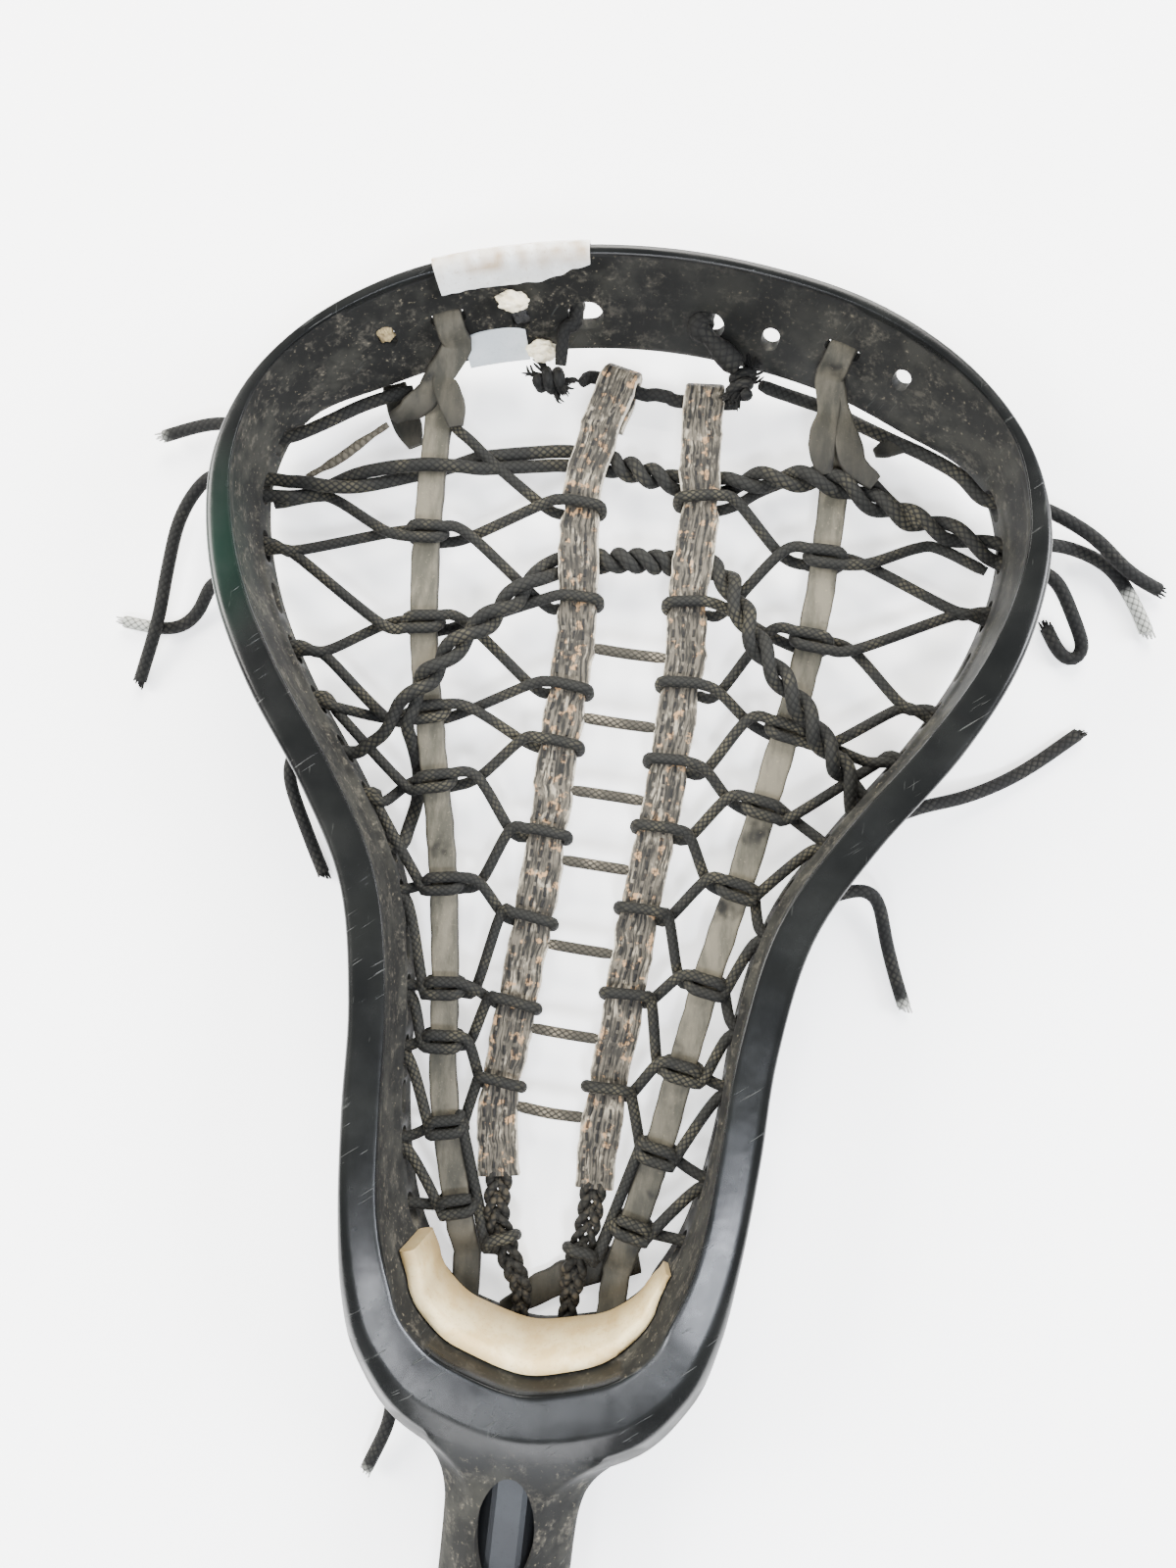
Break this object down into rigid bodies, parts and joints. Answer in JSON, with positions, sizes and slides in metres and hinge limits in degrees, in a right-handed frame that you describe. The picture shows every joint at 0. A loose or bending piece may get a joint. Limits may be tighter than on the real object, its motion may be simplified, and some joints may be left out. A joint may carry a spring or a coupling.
{
  "type": "womens lacrosse stick",
  "caption": "Strung lacrosse stick: a black nylon head with a shallow pocket of thongs, runners and laces on an eight-sided tubular handle with a butt cap.",
  "frame": {"origin": "under the middle of the stick, on the surface that it lies on, free cord ends left out", "axes": "+Y along the stick from the butt to the scoop, +Z out of the face of the head, +X to the right with the face up and the scoop away"},
  "size_m": [0.2821, 1.0852, 0.0381],
  "materials": {
    "black_nylon": "semi-gloss, scuffed",
    "grey_anodised_alloy": "satin",
    "black_rubber": "matte",
    "zinc_plated_steel": "satin",
    "cream_foam": "matte foam",
    "grey_brown_leather": "worn",
    "stitched_runner": "matte, stitched",
    "dark_grey_braid": "matte braid",
    "white_tape": "matte",
    "cream_filler": "matte"
  },
  "bodies": {
    "stick": {"head_frame": "black_nylon", "shaft_tube": "grey_anodised_alloy", "head_screw": "zinc_plated_steel", "ball_stop_pad": "cream_foam", "outer_thong_left": "grey_brown_leather", "outer_thong_right": "grey_brown_leather", "inner_runner_left": "stitched_runner", "inner_runner_right": "stitched_runner", "rim_tape": "white_tape", "tape_strip": "white_tape", "filler_lump_upper": "cream_filler", "filler_lump_lower": "cream_filler", "runner_cord_left": "dark_grey_braid", "runner_cord_right": "dark_grey_braid", "wall_lace_left": "dark_grey_braid", "wall_lace_right": "dark_grey_braid", "pocket_lace_left": "dark_grey_braid", "pocket_lace_right": "dark_grey_braid", "upper_shooting_string_a": "dark_grey_braid", "upper_shooting_string_b": "dark_grey_braid", "lower_shooting_string_a": "dark_grey_braid", "lower_shooting_string_b": "dark_grey_braid", "scoop_string_left": "dark_grey_braid", "scoop_string_right": "dark_grey_braid", "runner_tie_left": "dark_grey_braid", "runner_tie_right": "dark_grey_braid", "runner_knot_left": "dark_grey_braid", "runner_knot_right": "dark_grey_braid", "runner_top_cord": "dark_grey_braid", "ladder_rung_1": "dark_grey_braid", "ladder_rung_2": "dark_grey_braid", "ladder_rung_3": "dark_grey_braid", "ladder_rung_4": "dark_grey_braid", "ladder_rung_5": "dark_grey_braid", "ladder_rung_6": "dark_grey_braid", "ladder_rung_7": "dark_grey_braid", "tail_left_top": "dark_grey_braid", "tail_left_long": "dark_grey_braid", "tail_left_hook": "dark_grey_braid", "tail_left_side": "dark_grey_braid", "tail_right_top": "dark_grey_braid", "tail_right_long": "dark_grey_braid", "tail_right_hook": "dark_grey_braid", "tail_right_side": "dark_grey_braid", "tail_right_low": "dark_grey_braid", "tail_throat": "dark_grey_braid"},
    "butt_cap": {"end_cap": "black_rubber"}
  },
  "joints": [
    {"name": "butt_cap_pull", "type": "slide", "parent": "stick", "child": "butt_cap", "axis": [0, -1, 0], "range_m": [0, 0.035]}
  ]
}
